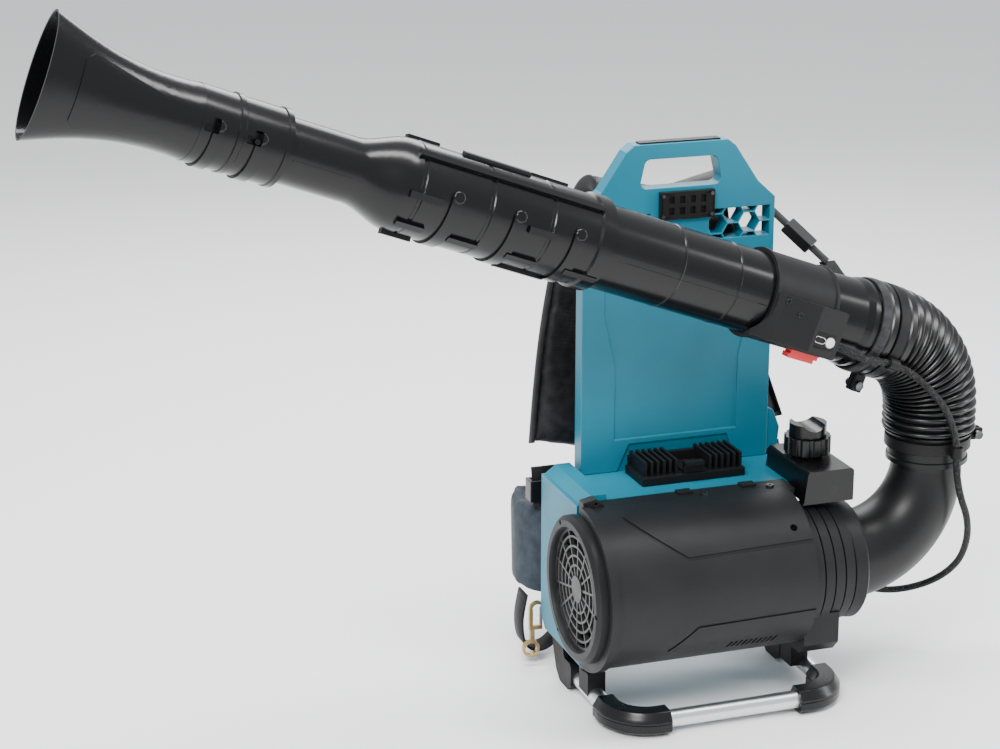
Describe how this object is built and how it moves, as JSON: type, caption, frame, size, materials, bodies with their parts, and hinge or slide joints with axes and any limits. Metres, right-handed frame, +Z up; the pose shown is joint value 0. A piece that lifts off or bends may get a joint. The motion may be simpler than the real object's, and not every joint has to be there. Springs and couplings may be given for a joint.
{
  "type": "backpack leaf blower",
  "caption": "Battery backpack leaf blower: fan housing on a tube frame, back panel with harness, bellows hose, telescoping pipe with grip and flat nozzle.",
  "frame": {"origin": "centre of the footprint's bounding box, on the ground", "axes": "+X along the fan towards its outlet, +Y towards the wearer's back, +Z up; the blower pipe runs back along -X and rises"},
  "size_m": [1.018, 0.4028, 0.7785],
  "materials": {
    "inlet_ring": "fine texture",
    "inlet_grille": "zinc plated",
    "housing_screws": "zinc plated",
    "fan_duct": "matt moulded",
    "motor_stator": "lacquered winding and laminated core",
    "motor_bearings": "zinc plated",
    "rotor_shaft": "zinc plated",
    "rotor_magnets": "zinc plated",
    "impeller": "matt moulded",
    "base_housing": "satin moulded",
    "front_cover": "fine texture",
    "outlet_collar": "fine texture",
    "back_panel": "satin moulded",
    "handle_inlay": "matt moulded",
    "latch_plate": "matt moulded",
    "connector_dock": "glossy moulded",
    "dock_clip": "matt moulded",
    "socket_module": "glossy moulded",
    "plug_body": "glossy moulded",
    "locking_ring": "glossy moulded",
    "controller_board": "green laminate",
    "heat_sink": "satin drawn tube",
    "frame_tube": "satin drawn tube",
    "corner_sleeves": "glossy moulded",
    "frame_mounts": "matt moulded",
    "rubber_buffers": "matt",
    "elbow": "fine texture",
    "lower_cuff": "glossy moulded",
    "lower_clamp": "glossy moulded",
    "hose_lower": "matt",
    "hose_upper": "matt",
    "upper_cuff": "matt",
    "upper_clamp": "glossy moulded",
    "upper_clamp_screw": "zinc plated",
    "swivel_pipe": "glossy moulded",
    "main_pipe": "glossy moulded",
    "handle_collar": "matt moulded",
    "pod_shell": "matt moulded",
    "power_button": "satin",
    "speed_lever": "satin",
    "control_pins": "zinc plated",
    "grip_shells": "matt moulded",
    "trigger": "satin",
    "sleeve_pipe": "glossy moulded",
    "nozzle": "glossy moulded",
    "cable_handle": "braided",
    "cable_upper": "braided",
    "cable_lower": "braided",
    "cuff_band": "woven",
    "hanger_upper": "woven",
    "hanger_lower": "woven",
    "hanger_buckle": "glossy moulded",
    "snap_hook": "cast",
    "hook_gate": "zinc plated",
    "back_pad": "padded, stitched",
    "shoulder_straps": "padded, stitched",
    "harness_webbing": "woven",
    "belt_buckles": "glossy moulded",
    "ladder_locks": "glossy moulded",
    "belt_wings": "woven grey-blue"
  },
  "bodies": {
    "machine": {"inlet_ring": "inlet_ring", "inlet_grille": "inlet_grille", "housing_screws": "housing_screws", "fan_duct": "fan_duct", "motor_stator": "motor_stator", "motor_bearings": "motor_bearings", "base_housing": "base_housing", "front_cover": "front_cover", "outlet_collar": "outlet_collar", "back_panel": "back_panel", "handle_inlay": "handle_inlay", "latch_plate": "latch_plate", "connector_dock": "connector_dock", "dock_clip": "dock_clip", "socket_module": "socket_module", "plug_body": "plug_body", "controller_board": "controller_board", "heat_sink": "heat_sink", "frame_tube": "frame_tube", "corner_sleeves": "corner_sleeves", "frame_mounts": "frame_mounts", "rubber_buffers": "rubber_buffers", "elbow": "elbow", "lower_cuff": "lower_cuff", "lower_clamp": "lower_clamp", "cable_lower": "cable_lower", "hanger_upper": "hanger_upper", "hanger_buckle": "hanger_buckle", "snap_hook": "snap_hook", "back_pad": "back_pad", "shoulder_straps": "shoulder_straps", "harness_webbing": "harness_webbing", "belt_buckles": "belt_buckles", "ladder_locks": "ladder_locks", "belt_wings": "belt_wings"},
    "rotor": {"rotor_shaft": "rotor_shaft", "rotor_magnets": "rotor_magnets", "impeller": "impeller"},
    "locking_ring": {"locking_ring": "locking_ring"},
    "hose_turn": {"hose_lower": "hose_lower", "hose_upper": "hose_upper", "cable_upper": "cable_upper", "hanger_lower": "hanger_lower"},
    "hose_end": {"upper_cuff": "upper_cuff", "upper_clamp": "upper_clamp", "upper_clamp_screw": "upper_clamp_screw", "cuff_band": "cuff_band"},
    "handle_pipe": {"swivel_pipe": "swivel_pipe", "main_pipe": "main_pipe", "handle_collar": "handle_collar", "pod_shell": "pod_shell", "grip_shells": "grip_shells", "control_pins": "control_pins", "cable_handle": "cable_handle"},
    "front_pipe": {"sleeve_pipe": "sleeve_pipe"},
    "nozzle": {"nozzle": "nozzle"},
    "trigger": {"trigger": "trigger"},
    "speed_lever": {"speed_lever": "speed_lever"},
    "power_button": {"power_button": "power_button"},
    "hook_gate": {"hook_gate": "hook_gate"}
  },
  "joints": [
    {"name": "fan_spin", "type": "hinge", "parent": "machine", "child": "rotor", "pos_m": [0.20444, -0.07929, 0.144], "axis": [1, 0, 0], "continuous": true},
    {"name": "locking_ring_turn", "type": "hinge", "parent": "machine", "child": "locking_ring", "pos_m": [0.32244, -0.04129, 0.261], "axis": [0, 0, 1], "range_deg": [0, 45]},
    {"name": "pipe_swing", "type": "hinge", "parent": "machine", "child": "hose_turn", "pos_m": [0.44544, -0.07929, 0.264], "axis": [0, 0, 1], "range_deg": [-3, 30], "deforming": ["hose_lower", "cable_lower", "hanger_upper"]},
    {"name": "pipe_tilt", "type": "hinge", "parent": "hose_turn", "child": "hose_end", "pos_m": [0.41678, -0.08215, 0.3703], "axis": [-0.0993, 0.9951, 0], "range_deg": [-15, 35], "deforming": ["hose_upper", "cable_upper", "hanger_lower"]},
    {"name": "pipe_swivel", "type": "hinge", "parent": "hose_end", "child": "handle_pipe", "pos_m": [0.3864, -0.08518, 0.3895], "axis": [-0.9302, -0.0928, 0.3551], "range_deg": [-30, 90], "deforming": ["cable_handle"]},
    {"name": "sleeve_slide", "type": "slide", "parent": "handle_pipe", "child": "front_pipe", "axis": [0.9302, 0.0928, -0.3551], "range_m": [0, 0.128]},
    {"name": "nozzle_turn", "type": "hinge", "parent": "front_pipe", "child": "nozzle", "pos_m": [-0.30567, -0.15426, 0.6537], "axis": [-0.9302, -0.0928, 0.3551], "range_deg": [-11, 0]},
    {"name": "trigger_pull", "type": "hinge", "parent": "handle_pipe", "child": "trigger", "pos_m": [0.24895, -0.04464, 0.43993], "axis": [-0.3534, -0.0353, -0.9348], "range_deg": [0, 15], "stiffness_Nm_per_rad": 1.2, "springref_deg": -8.59},
    {"name": "lever_turn", "type": "hinge", "parent": "handle_pipe", "child": "speed_lever", "pos_m": [0.27875, -0.13663, 0.39256], "axis": [0.0993, -0.9951, 0], "range_deg": [0, 30]},
    {"name": "button_press", "type": "slide", "parent": "handle_pipe", "child": "power_button", "axis": [-0.0993, 0.9951, 0], "range_m": [0, 0.0015], "stiffness_N_per_m": 700, "springref_m": -0.001},
    {"name": "hook_gate_open", "type": "hinge", "parent": "machine", "child": "hook_gate", "pos_m": [0.05814, 0.06171, 0.0463], "axis": [0, -1, 0], "range_deg": [0, 20], "stiffness_Nm_per_rad": 0.05, "springref_deg": -11.46}
  ]
}
